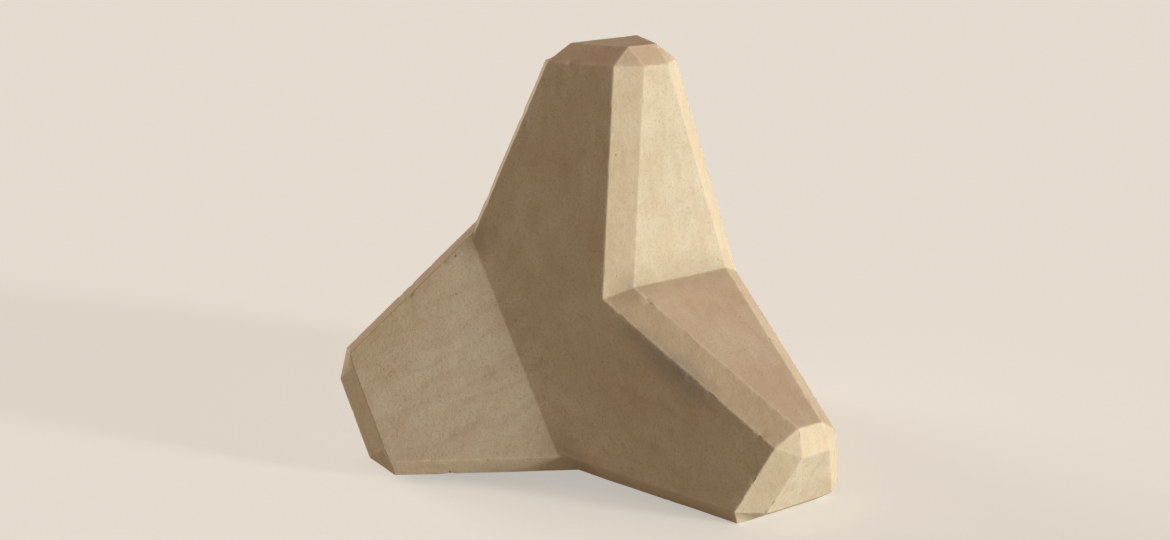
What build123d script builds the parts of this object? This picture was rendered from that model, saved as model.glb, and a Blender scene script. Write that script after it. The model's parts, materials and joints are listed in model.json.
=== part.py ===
# Flat-faced four-legged concrete armour unit, cast in one piece.
# Two identical V-notched slabs cross at right angles, one opening upwards and one downwards,
# so that the four tapered legs point to the corners of a tetrahedron.
# Frame: millimetres, +Z up. The unit stands on three legs on the floor at Z = 0, under the
# middle of its own footprint. The fourth leg points up, and one foot lies towards -X.
from build123d import *
from math import atan2, cos, degrees, radians, sin
import os

# Driving dimensions, in mm and degrees
leg_reach = 2100.0
leg_spread = 54.75
leg_root_width = 1500.0
leg_end_width = 680.0
leg_end_thickness = 440.0
keel_cover = 340.0
edge_chamfer = 130.0


def point_on_leg(along, aside):
    """Place in the slab's plane, along the leg from the unit's middle and aside of its axis."""
    tilt = radians(leg_spread)
    return (along * sin(tilt) + aside * cos(tilt), along * cos(tilt) - aside * sin(tilt))


def x_at_height(start, end, height):
    """Distance from the slab's upright axis of the line from start to end, at one height."""
    share = (height - start[1]) / (end[1] - start[1])
    return start[0] + share * (end[0] - start[0])


def mirrored(points):
    """The same points on the other side of the upright axis, in reverse order."""
    return [(-x, z) for x, z in reversed(points)]


# Slab profile: the faces inside the notch run from its valley to the leg ends, and the
# outer faces run from the leg ends to a flat keel, which stays inside the other slab
inner_root = point_on_leg(0, -leg_root_width / 2)
inner_end = point_on_leg(leg_reach, -leg_end_width / 2)
outer_root = point_on_leg(0, leg_root_width / 2)
outer_end = point_on_leg(leg_reach, leg_end_width / 2)
notch_slope = (inner_end[1] - inner_root[1]) / (inner_end[0] - inner_root[0])
notch_height = inner_root[1] - notch_slope * inner_root[0]
keel_height = keel_cover - notch_height
keel_end = (x_at_height(outer_root, outer_end, keel_height), keel_height)
right_side = [inner_end, outer_end, keel_end]
profile = [(0, notch_height)] + right_side + mirrored(right_side)

# Slab flanks: they lean together towards the leg ends, and at mid-height they are as far
# apart as the outer faces, so that all eight faces meet there in four common corners
crest_half = leg_end_thickness / 2
middle_half = x_at_height(outer_root, outer_end, 0)
flank_slope = (middle_half - crest_half) / inner_end[1]
keel_half = middle_half - flank_slope * keel_height
crest_side = [(crest_half, inner_end[1]), (keel_half, keel_height)]
cross_section = crest_side + mirrored(crest_side)

with BuildPart() as slab:
    with BuildSketch(Plane.XZ):
        with BuildLine():
            Polyline(profile, close=True)
        make_face()
    extrude(amount=keel_half, both=True)
    with BuildSketch(Plane.YZ):
        with BuildLine():
            Polyline(cross_section, close=True)
        make_face()
    extrude(amount=leg_reach, both=True, mode=Mode.INTERSECT)
    crosswise = slab.edges().filter_by(Axis.Y)
    valley = crosswise.filter_by_position(Axis.X, -1, 1).sort_by(Axis.Z)[-1]
    chamfer(slab.edges() - [valley], length=edge_chamfer)

with BuildPart() as crossed:
    add(slab.part)
    add(slab.part, rotation=(180, 0, 90))

# One leg is turned upright, then the unit settles on the lowest corners of the other three
upright = crossed.part.rotate(Axis.Y, -leg_spread)
corners = upright.vertices()
single_foot = corners.filter_by_position(Axis.X, -2 * leg_reach, 0).sort_by(Axis.Z)[0]
paired_foot = corners.filter_by_position(Axis.X, 0, 2 * leg_reach).sort_by(Axis.Z)[0]
settle = degrees(atan2(paired_foot.Z - single_foot.Z, paired_foot.X - single_foot.X))
settled = upright.rotate(Axis.Y, settle)
footprint = settled.bounding_box()
to_floor = Location((-footprint.center().X, -footprint.center().Y, -footprint.min.Z))

with BuildPart() as armour_unit:
    with Locations(to_floor):
        add(settled)

os.makedirs("parts", exist_ok=True)
armour_unit.part.label = "armour_unit"
export_step(armour_unit.part, "parts/armour_unit.step")

upper_end = armour_unit.faces().sort_by(Axis.Z)[-1]
print("volume in cubic metres", round(armour_unit.part.volume / 1e9, 3))
print("upper leg end", upper_end.center(), upper_end.normal_at())
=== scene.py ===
import json
import math

import bpy
import numpy as np
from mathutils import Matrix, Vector

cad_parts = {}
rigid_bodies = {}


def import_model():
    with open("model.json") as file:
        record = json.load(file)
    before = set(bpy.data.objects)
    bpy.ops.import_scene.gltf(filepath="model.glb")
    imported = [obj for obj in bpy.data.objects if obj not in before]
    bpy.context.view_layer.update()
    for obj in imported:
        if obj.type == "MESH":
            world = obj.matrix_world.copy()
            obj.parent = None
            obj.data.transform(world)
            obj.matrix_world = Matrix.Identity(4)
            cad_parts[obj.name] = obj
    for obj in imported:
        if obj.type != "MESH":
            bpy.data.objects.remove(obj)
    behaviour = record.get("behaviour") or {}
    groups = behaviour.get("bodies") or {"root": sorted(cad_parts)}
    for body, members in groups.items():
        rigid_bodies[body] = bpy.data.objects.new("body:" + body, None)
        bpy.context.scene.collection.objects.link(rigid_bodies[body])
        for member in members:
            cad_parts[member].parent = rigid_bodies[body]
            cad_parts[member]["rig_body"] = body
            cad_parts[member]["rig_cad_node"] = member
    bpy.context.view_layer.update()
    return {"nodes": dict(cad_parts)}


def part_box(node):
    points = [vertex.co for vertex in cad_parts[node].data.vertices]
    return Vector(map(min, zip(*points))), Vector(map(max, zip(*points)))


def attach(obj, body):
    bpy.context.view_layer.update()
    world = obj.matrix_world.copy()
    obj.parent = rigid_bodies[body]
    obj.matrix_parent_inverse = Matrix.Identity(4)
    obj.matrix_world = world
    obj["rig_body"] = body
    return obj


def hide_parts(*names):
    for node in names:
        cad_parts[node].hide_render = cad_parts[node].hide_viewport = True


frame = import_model()
low_corner, high_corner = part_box("armour_unit")

# How the unit's planes and lines are told apart, in metres, square metres and degrees
MERGE_GAP = 0.0002
FLAT_ANGLE = 0.4
CORNER_FACE_AREA = 0.0035  # smaller faces are slivers where chamfers meet
CHAMFER_WIDTH = 0.25  # a face whose area over its longest line is less is a chamfer
LEG_END_COSINE = 0.995  # a face that looks more straight away from the middle is a leg's end
SHARP_ANGLE = 8.0
DEEP_ANGLE = 30.0

# Rounding of the arrises, how far chips, wear and the painted highlight reach from the arrises, and how
# far the painted shade reaches from the valleys, in metres and degrees
ARRIS_RADIUS = 0.012
ARRIS_SEGMENTS = 3
ARRIS_REACH = 0.040
NEAR_ARRIS = "near_arris"
VALLEY_REACH = 0.30
SMOOTH_ANGLE = 24.0

# Cells that the planes are cut into, in metres
GRID_STEP = 0.034
GRID_SHIFT = 0.37  # the share of a cell that keeps the cuts off the unit's own corners
GRID_MERGE_GAP = 0.0015

# Waves and chips, in metres
WAVE_SIZE = 0.55
WAVE_HEIGHT = 0.006
WAVE_RISE = (0.2, 0.8)  # the part of its texture over which it goes from nothing to full
CHIP_SIZE = 0.09
CHIP_DEPTH = 0.014
CHIP_RISE = (0.64, 0.82)

# Patterns of the concrete, in metres
CLOUD_SIZE = 0.9
PATCH_SIZE = 0.35
MOTTLE_SIZE = 0.07
GRAIN_SIZE = 0.018  # real sand grains are 1 to 4 mm wide, drawn 9 to 18 mm so that they show
HOLE_SPACING = 0.085
HOLE_RADIUS = 0.0136  # real air holes are 3 to 15 mm wide, drawn up to 27 mm so that they show
RELIEF_HEIGHT = 0.004

# Lines of the poured mix, in metres
STREAK_LENGTH = 3.0
STREAK_WIDTH = 0.08
STREAK_START = 0.25  # a leg's own lines start to show this far from the unit's middle
STREAK_ALONE = 0.75  # past this they are the only ones

# A faint band of painted shade on the flank, beside the lower edge of the notch, in metres
SHADE_BAND_PLACE = (-0.78, 0.52, 0.99)
SHADE_BAND_ALONG = Vector((-0.838, -0.215, -0.501))
SHADE_BAND_SIZE = (0.60, 0.17, 0.17)
SHADE_BAND_RAGGEDNESS = 0.9

# The photograph's view: its frame and lens in pixels, and where it looks from in degrees
IMAGE_WIDTH = 1170
IMAGE_HEIGHT = 540
FOCAL_PIXELS = 2080
SENSOR_MM = 36.0
VIEW_AZIMUTH = 230.0
VIEW_ELEVATION = 14.0
FILL_OF_HEIGHT = 0.86  # the share of the frame's height that the unit fills
FAR_LIMIT = 400.0

# How far round from the camera each lamp is, how high and how wide in degrees, and how strong
LAMPS = {
    "key_lamp": {"turn": 65.0, "elevation": 6.0, "softness": 10.0, "strength": 3.0},
    "rim_lamp": {"turn": -130.0, "elevation": 15.0, "softness": 30.0, "strength": 1.3},
}

# Warm light from all round, and the pale floor and backdrop
FILL_COLOUR = "#FFDFC4"
FILL_STRENGTH = 0.295
FLOOR_SIZE = 240.0
FLOOR_COLOUR = "#CBC8C2"
FLOOR_GLOW = 0.59
BACKDROP_COLOUR = "#E9E5DD"

# Where a mix node keeps its factor, its two numbers and their mix, its two colours and theirs
FACTOR = 0
FIRST_NUMBER, SECOND_NUMBER, MIXED_NUMBER = 2, 3, 0
FIRST_COLOUR, SECOND_COLOUR, MIXED_COLOUR = 6, 7, 2


def linear(hex_colour):
    """An sRGB hex colour as the linear RGBA that a shader socket takes."""
    parts = [int(hex_colour[i:i + 2], 16) / 255 for i in (1, 3, 5)]
    return [c / 12.92 if c <= 0.04045 else ((c + 0.055) / 1.055) ** 2.4 for c in parts] + [1.0]


def add_node(tree, kind, inputs=None, **settings):
    """Adds one node with its settings, and sets or links its inputs."""
    node = tree.nodes.new(kind)
    for name, value in settings.items():
        setattr(node, name, value)
    for name, value in (inputs or {}).items():
        if isinstance(value, bpy.types.NodeSocket):
            tree.links.new(value, node.inputs[name])
        else:
            node.inputs[name].default_value = value
    return node


def direction(azimuth, elevation):
    """Unit vector from the object towards a camera or lamp at these angles."""
    turn, rise = math.radians(azimuth), math.radians(elevation)
    return Vector((math.sin(turn) * math.cos(rise), -math.cos(turn) * math.cos(rise), math.sin(rise)))


def select_only(piece):
    """Makes one object the only selected and the active one."""
    bpy.ops.object.select_all(action="DESELECT")
    piece.select_set(True)
    bpy.context.view_layer.objects.active = piece


def merged_copy():
    """The unit's planes as whole faces, copied from the CAD node's loose triangles."""
    select_only(frame["nodes"]["armour_unit"])
    bpy.ops.object.duplicate()
    body = bpy.context.active_object
    body.name = "cast_body"
    # The copy is a piece of its own, without the CAD node's marks
    body.parent = None
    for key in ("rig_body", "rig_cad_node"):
        if key in body:
            del body[key]
    bpy.ops.mesh.customdata_custom_splitnormals_clear()
    bpy.ops.object.mode_set(mode="EDIT")
    bpy.ops.mesh.select_mode(type="FACE")
    bpy.ops.mesh.select_all(action="SELECT")
    bpy.ops.mesh.remove_doubles(threshold=MERGE_GAP)
    bpy.ops.mesh.dissolve_limited(angle_limit=math.radians(FLAT_ANGLE))
    bpy.ops.mesh.select_all(action="DESELECT")
    bpy.ops.object.mode_set(mode="OBJECT")
    for face in body.data.polygons:
        face.select = face.area < CORNER_FACE_AREA
    bpy.ops.object.mode_set(mode="EDIT")
    bpy.ops.mesh.dissolve_faces(use_verts=True)
    bpy.ops.object.mode_set(mode="OBJECT")
    return body


def mark_chamfers(body):
    """Marks the narrow faces along the arrises, which the material paints with a paler highlight than
    the planes.
    """
    mesh = body.data
    narrow = []
    for face in mesh.polygons:
        corners = [mesh.vertices[i].co for i in face.vertices]
        longest = max((a - b).length for a in corners for b in corners)
        narrow.append(1.0 if face.area / longest < CHAMFER_WIDTH else 0.0)
    attribute = mesh.attributes.new("chamfer", "FLOAT", "FACE")
    attribute.data.foreach_set("value", narrow)


def sharp_lines(body):
    """End points of the body's arrises and of its deep valleys, as two lists of pairs."""
    mesh = body.data
    sides = {}
    for face in mesh.polygons:
        corners = list(face.vertices)
        for start, end in zip(corners, corners[1:] + corners[:1]):
            inward = face.normal.cross(mesh.vertices[end].co - mesh.vertices[start].co)
            sides.setdefault(frozenset((start, end)), []).append((face.normal, inward))
    arrises, valleys = [], []
    for key, ((normal, _), (other, inward)) in sides.items():
        turn = math.degrees(normal.angle(other))
        ends = [mesh.vertices[i].co.copy() for i in sorted(key)]
        # Past an arris the second face falls away behind the first, and past a valley it rises
        if normal.dot(inward) < 0:
            if turn > SHARP_ANGLE:
                arrises.append(ends)
        elif turn > DEEP_ANGLE:
            valleys.append(ends)
    return arrises, valleys


def leg_axes(body):
    """The unit's middle, and the outward direction of each of its four legs."""
    mesh = body.data
    middle = sum((v.co for v in mesh.vertices), Vector()) / len(mesh.vertices)
    axes = []
    for face in mesh.polygons:
        if face.normal.dot((face.center - middle).normalized()) > LEG_END_COSINE:
            axes.append(face.normal.copy())
    return middle, axes


def soften_arrises(body):
    """Rounds each arris by the small radius that a steel mould's corner leaves."""
    select_only(body)
    bpy.ops.object.mode_set(mode="EDIT")
    bpy.ops.mesh.select_mode(type="EDGE")
    bpy.ops.mesh.select_all(action="DESELECT")
    bpy.ops.mesh.edges_select_sharp(sharpness=math.radians(SHARP_ANGLE))
    bpy.ops.mesh.bevel(
        offset=ARRIS_RADIUS, segments=ARRIS_SEGMENTS, affect="EDGES", clamp_overlap=True)
    bpy.ops.object.mode_set(mode="OBJECT")


def cut_grid(body):
    """Cuts the planes into small cells, so that waves and chips have points to move."""
    select_only(body)
    bpy.ops.object.mode_set(mode="EDIT")
    for axis in range(3):
        normal = [1.0 if i == axis else 0.0 for i in range(3)]
        cuts = int((high_corner[axis] - low_corner[axis]) / GRID_STEP)
        for cut in range(1, cuts + 1):
            place = low_corner.copy()
            place[axis] += (cut - GRID_SHIFT) * GRID_STEP
            bpy.ops.mesh.select_all(action="SELECT")
            bpy.ops.mesh.bisect(plane_co=place, plane_no=normal)
    bpy.ops.mesh.select_all(action="SELECT")
    bpy.ops.mesh.remove_doubles(threshold=GRID_MERGE_GAP)
    bpy.ops.object.mode_set(mode="OBJECT")


def closeness(body, lines, reach):
    """For each point of the mesh, 1 on the nearest of the lines and 0 from reach away."""
    points = np.empty(len(body.data.vertices) * 3)
    body.data.vertices.foreach_get("co", points)
    points = points.reshape(-1, 3)
    nearest = np.full(len(points), reach)
    for ends in lines:
        start, end = np.array(ends[0]), np.array(ends[1])
        along = end - start
        share = np.clip((points - start) @ along / (along @ along), 0, 1)
        gap = np.linalg.norm(points - start - share[:, None] * along, axis=1)
        nearest = np.minimum(nearest, gap)
    return 1 - nearest / reach


def keep_attribute(body, name, values):
    """Keeps one number for each point of the mesh, for the material to read."""
    attribute = body.data.attributes.new(name, "FLOAT", "POINT")
    attribute.data.foreach_set("value", values)


def cast_texture(name, size, rise):
    """Cloudy texture for a Displace modifier, which goes from 0 to 1 over the rise."""
    texture = bpy.data.textures.new(name, "CLOUDS")
    texture.noise_scale = size
    texture.noise_depth = 3
    texture.use_color_ramp = True
    first, last = texture.color_ramp.elements
    first.position, first.color = rise[0], (0, 0, 0, 1)
    last.position, last.color = rise[1], (1, 1, 1, 1)
    return texture


def displace(body, texture, strength, middle, group=""):
    """Moves the surface along its normals by a texture, and applies the modifier."""
    select_only(body)
    modifier = body.modifiers.new(texture.name, "DISPLACE")
    modifier.texture = texture
    modifier.texture_coords = "LOCAL"
    modifier.strength = strength
    modifier.mid_level = middle
    modifier.vertex_group = group
    bpy.ops.object.modifier_apply(modifier=modifier.name)


def weather_surface(body, arrises):
    """Slight waves of the mould's plates, and small chips along the arrises."""
    group = body.vertex_groups.new(name=NEAR_ARRIS)
    for index, weight in enumerate(closeness(body, arrises, ARRIS_REACH)):
        if weight > 0:
            group.add([index], float(weight), "REPLACE")
    waves = cast_texture("mould_waves", WAVE_SIZE, WAVE_RISE)
    displace(body, waves, WAVE_HEIGHT, middle=0.5)
    chips = cast_texture("arris_chips", CHIP_SIZE, CHIP_RISE)
    displace(body, chips, -CHIP_DEPTH, middle=0.0, group=NEAR_ARRIS)


def smooth_arrises(body):
    """Smooths the rounded arrises, while the planes beside them stay flat."""
    select_only(body)
    bpy.ops.object.shade_smooth_by_angle(angle=math.radians(SMOOTH_ANGLE))
    modifier = body.modifiers.new("plane_normals", "WEIGHTED_NORMAL")
    modifier.mode = "FACE_AREA"
    modifier.keep_sharp = True
    bpy.ops.object.modifier_apply(modifier=modifier.name)


def leg_streaks(tree, place, middle, legs):
    """Faint lines where the mix ran down the mould, drawn out along each leg."""
    # Between the legs, where no lines show, the value is the mean of the noise
    streaks = 0.5
    for leg in legs:
        turned = add_node(tree, "ShaderNodeMapping", {
            "Vector": place, "Rotation": leg.to_track_quat("X", "Z").to_euler(),
            "Scale": (STREAK_LENGTH, STREAK_WIDTH, STREAK_WIDTH)}, vector_type="TEXTURE")
        lines = add_node(tree, "ShaderNodeTexNoise", {
            "Vector": turned.outputs["Vector"], "Scale": 1.0, "Detail": 2.0, "Roughness": 0.5})
        along = add_node(tree, "ShaderNodeVectorMath", {0: place, 1: leg}, operation="DOT_PRODUCT")
        share = add_node(tree, "ShaderNodeMapRange", {
            "Value": along.outputs["Value"], "From Min": middle.dot(leg) + STREAK_START,
            "From Max": middle.dot(leg) + STREAK_ALONE})
        streaks = add_node(tree, "ShaderNodeMix", {
            FACTOR: share.outputs["Result"], FIRST_NUMBER: streaks,
            SECOND_NUMBER: lines.outputs["Fac"]}, data_type="FLOAT").outputs[MIXED_NUMBER]
    return streaks


def flank_shade_band(tree, place, patches):
    """A number that falls from the flank towards the middle of a long ragged band of painted shade."""
    across = add_node(tree, "ShaderNodeMapping", {
        "Vector": place, "Location": SHADE_BAND_PLACE, "Scale": SHADE_BAND_SIZE,
        "Rotation": SHADE_BAND_ALONG.to_track_quat("X", "Z").to_euler()}, vector_type="TEXTURE")
    gap = add_node(tree, "ShaderNodeVectorMath", {0: across.outputs["Vector"]}, operation="LENGTH")
    return add_node(tree, "ShaderNodeMath", {
        0: patches, 1: SHADE_BAND_RAGGEDNESS, 2: gap.outputs["Value"]}, operation="MULTIPLY_ADD").outputs[0]


def air_holes(tree, place):
    """Round holes in about half of the cells of a loose pattern, 1 in the middle of each."""
    cells = add_node(tree, "ShaderNodeTexVoronoi", {
        "Vector": place, "Scale": 1 / HOLE_SPACING, "Randomness": 1.0})
    chosen = add_node(tree, "ShaderNodeSeparateColor", {"Color": cells.outputs["Color"]})
    radius = add_node(tree, "ShaderNodeMapRange", {
        "Value": chosen.outputs["Red"], "From Min": 0.50, "From Max": 1.0,
        "To Max": HOLE_RADIUS / HOLE_SPACING})
    return add_node(tree, "ShaderNodeMapRange", {
        "Value": cells.outputs["Distance"], "From Min": 0.0, "From Max": radius.outputs["Result"],
        "To Min": 1.0, "To Max": 0.0}, interpolation_type="SMOOTHSTEP").outputs["Result"]


def cast_concrete(middle, legs):
    """Concrete of pale sand and cement, cast in a steel mould."""
    # It is matte, cloudy in sand, buff and pink, with faint lines, small air holes and fine grain;
    # light and shade are painted onto its chamfers, arrises, upward faces, valleys, holes and a band on
    # its flank
    concrete = bpy.data.materials.new("cast_concrete_steel_mould")
    concrete.use_nodes = True
    tree = concrete.node_tree
    tree.nodes.clear()
    place = add_node(tree, "ShaderNodeTexCoord").outputs["Object"]
    clouds, patches, mottle, grains = [
        add_node(tree, "ShaderNodeTexNoise", {
            "Vector": place, "Scale": 1 / size, "Detail": detail, "Roughness": fineness}).outputs["Fac"]
        for size, detail, fineness in (
            (CLOUD_SIZE, 5.0, 0.55), (PATCH_SIZE, 3.0, 0.55), (MOTTLE_SIZE, 4.0, 0.6),
            (GRAIN_SIZE, 2.0, 0.6))]
    streaks = leg_streaks(tree, place, middle, legs)
    shade_band = flank_shade_band(tree, place, patches)
    holes = air_holes(tree, place)

    # How strong the painted highlight on the chamfers is, how deep the painted shade on upward faces
    # is, and how rough the skin is
    chamfer_highlight_strength, upward_shade_depth, roughness = [
        add_node(tree, "ShaderNodeMapRange", {
            "Value": pattern, "From Min": 0.35, "From Max": 0.65,
            "To Min": least, "To Max": most}).outputs["Result"]
        for pattern, least, most in (
            (mottle, 0.28, 0.48), (patches, 0.46, 0.64), (patches, 0.82, 0.95))]

    # Painted highlight, painted shade and the wear along the arrises keep to their own places on the
    # unit, and are uneven there
    chamfer, upward, valley, arris = [
        add_node(tree, "ShaderNodeAttribute", attribute_name=name).outputs["Fac"]
        for name in ("chamfer", "upward", "valley", "arris")]
    facing_up = add_node(tree, "ShaderNodeMapRange", {
        "Value": upward, "From Min": 0.42, "From Max": 0.82}).outputs["Result"]
    # Painted highlight on the chamfers, painted shade on upward faces and in the valleys, and paler
    # arrises that are partly wear and partly painted highlight
    chamfer_highlight, upward_shade, valley_shade, arris_wear_and_highlight = [
        add_node(tree, "ShaderNodeMath", {0: spot, 1: pattern}, operation="MULTIPLY").outputs[0]
        for spot, pattern in (
            (chamfer, chamfer_highlight_strength), (facing_up, upward_shade_depth), (valley, patches), (arris, mottle))]

    # Tones, each over those before it, which grow as their carrier goes from start to full
    tone = linear("#D2C3A2")
    for carrier, start, full, strength, colour in (
            (clouds, 0.36, 0.64, 1.0, "#DED5B9"),
            (patches, 0.46, 0.72, 0.42, "#CCB392"),
            (streaks, 0.46, 0.72, 0.32, "#BCA684"),
            (mottle, 0.45, 0.75, 0.25, "#E2D6BA"),
            (grains, 0.50, 0.72, 0.40, "#B29A78"),
            # Paler on the chamfers: a painted highlight
            (chamfer_highlight, 0.0, 1.0, 1.0, "#F4E1BA"),
            # Darker and pinker on upward faces: painted shade
            (upward_shade, 0.0, 1.0, 1.0, "#BE9F84"),
            # Darker near the valleys: painted shade in the creases
            (valley_shade, 0.18, 0.62, 0.55, "#A8997D"),
            # Bluish-grey band on the flank beside the notch's lower edge: painted shade
            (shade_band, 1.35, 0.60, 0.50, "#838B8C"),
            # Paler along the arrises: partly rubbed wear, partly a painted highlight
            (arris_wear_and_highlight, 0.22, 0.55, 0.40, "#E6DBC0"),
            # Darker in the air holes: painted shade in the hollows
            (holes, 0.0, 1.0, 0.55, "#7C6B52")):
        share = add_node(tree, "ShaderNodeMapRange", {
            "Value": carrier, "From Min": start, "From Max": full, "To Max": strength})
        tone = add_node(tree, "ShaderNodeMix", {
            FACTOR: share.outputs["Result"], FIRST_COLOUR: tone,
            SECOND_COLOUR: linear(colour)}, data_type="RGBA").outputs[MIXED_COLOUR]

    # Relief, in multiples of RELIEF_HEIGHT: the sandy grain, a low mottling and the holes
    relief = grains
    for pattern, height in ((mottle, 2.2), (holes, -3.0)):
        relief = add_node(tree, "ShaderNodeMath", {
            0: pattern, 1: height, 2: relief}, operation="MULTIPLY_ADD").outputs[0]
    bump = add_node(tree, "ShaderNodeBump", {
        "Height": relief, "Strength": 0.35, "Distance": RELIEF_HEIGHT})
    shader = add_node(tree, "ShaderNodeBsdfPrincipled", {
        "Base Color": tone, "Roughness": roughness, "Normal": bump.outputs["Normal"], "IOR": 1.5})
    add_node(tree, "ShaderNodeOutputMaterial", {"Surface": shader.outputs["BSDF"]})
    return concrete


def studio_floor():
    """Plain pale floor, far past the edges of the view."""
    bpy.ops.object.select_all(action="DESELECT")
    bpy.ops.mesh.primitive_plane_add(size=FLOOR_SIZE)
    floor = bpy.context.active_object
    floor.name = "studio_floor"
    # Matte paint without shine, which the camera alone sees lifted towards the backdrop's tone
    paint = bpy.data.materials.new("matte_floor_paint")
    paint.use_nodes = True
    tree = paint.node_tree
    tree.nodes.clear()
    matte = add_node(tree, "ShaderNodeBsdfDiffuse", {"Color": linear(FLOOR_COLOUR)})
    seen = add_node(tree, "ShaderNodeLightPath").outputs["Is Camera Ray"]
    glow = add_node(tree, "ShaderNodeMath", {0: seen, 1: FLOOR_GLOW}, operation="MULTIPLY").outputs[0]
    lift = add_node(tree, "ShaderNodeEmission", {"Color": linear(BACKDROP_COLOUR), "Strength": glow})
    both = add_node(tree, "ShaderNodeAddShader", {
        0: matte.outputs["BSDF"], 1: lift.outputs["Emission"]})
    add_node(tree, "ShaderNodeOutputMaterial", {"Surface": both.outputs["Shader"]})
    floor.data.materials.append(paint)
    return floor


def add_lamps():
    """A low soft key on the right of the camera, and a weaker, softer lamp behind the unit."""
    for name, lamp in LAMPS.items():
        sun = bpy.data.objects.new(name, bpy.data.lights.new(name, "SUN"))
        sun.data.energy = lamp["strength"]
        sun.data.angle = math.radians(lamp["softness"])
        away = direction(VIEW_AZIMUTH + lamp["turn"], lamp["elevation"])
        sun.rotation_euler = away.to_track_quat("Z", "Y").to_euler()
        bpy.context.scene.collection.objects.link(sun)


def add_surroundings():
    """Even warm fill from all round, and a pale background for the camera alone."""
    world = bpy.data.worlds.new("studio")
    world.use_nodes = True
    bpy.context.scene.world = world
    tree = world.node_tree
    tree.nodes.clear()
    seen = add_node(tree, "ShaderNodeLightPath").outputs["Is Camera Ray"]
    fill = add_node(tree, "ShaderNodeBackground", {
        "Color": linear(FILL_COLOUR), "Strength": FILL_STRENGTH})
    backdrop = add_node(tree, "ShaderNodeBackground", {
        "Color": linear(BACKDROP_COLOUR), "Strength": 1.0})
    both = add_node(tree, "ShaderNodeMixShader", {
        0: seen, 1: fill.outputs["Background"], 2: backdrop.outputs["Background"]})
    add_node(tree, "ShaderNodeOutputWorld", {"Surface": both.outputs["Shader"]})


def add_camera(body):
    """Camera on the photograph's side, aimed at the middle of the unit's outline."""
    towards_camera = direction(VIEW_AZIMUTH, VIEW_ELEVATION)
    turned = towards_camera.to_track_quat("Z", "Y")
    rightwards, upwards = turned @ Vector((1, 0, 0)), turned @ Vector((0, 1, 0))
    points = [v.co for v in body.data.vertices]
    across = [p.dot(rightwards) for p in points]
    up = [p.dot(upwards) for p in points]
    aim = (min(across) + max(across)) / 2 * rightwards + (min(up) + max(up)) / 2 * upwards
    depth = sum(p.dot(towards_camera) for p in points) / len(points)
    distance = FOCAL_PIXELS * (max(up) - min(up)) / (FILL_OF_HEIGHT * IMAGE_HEIGHT)
    camera = bpy.data.objects.new("photo_camera", bpy.data.cameras.new("photo_camera"))
    camera.data.sensor_width = SENSOR_MM
    camera.data.lens = FOCAL_PIXELS / IMAGE_WIDTH * SENSOR_MM
    camera.data.clip_end = FAR_LIMIT
    camera.location = aim + (depth + distance) * towards_camera
    camera.rotation_euler = turned.to_euler()
    bpy.context.scene.collection.objects.link(camera)
    bpy.context.scene.camera = camera


body = merged_copy()
arrises, valleys = sharp_lines(body)
middle, legs = leg_axes(body)
mark_chamfers(body)
soften_arrises(body)
cut_grid(body)
weather_surface(body, arrises)
# Where the material paints the paler arrises, the shade in the valleys and the shade on upward faces
keep_attribute(body, "arris", closeness(body, arrises, ARRIS_REACH))
keep_attribute(body, "valley", closeness(body, valleys, VALLEY_REACH))
keep_attribute(body, "upward", [max(0.0, v.normal.z) for v in body.data.vertices])
smooth_arrises(body)
body.data.materials.clear()
body.data.materials.append(cast_concrete(middle, legs))
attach(body, "root")
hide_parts("armour_unit")

floor = studio_floor()
add_lamps()
add_surroundings()
add_camera(body)
bpy.context.scene.view_settings.view_transform = "Standard"
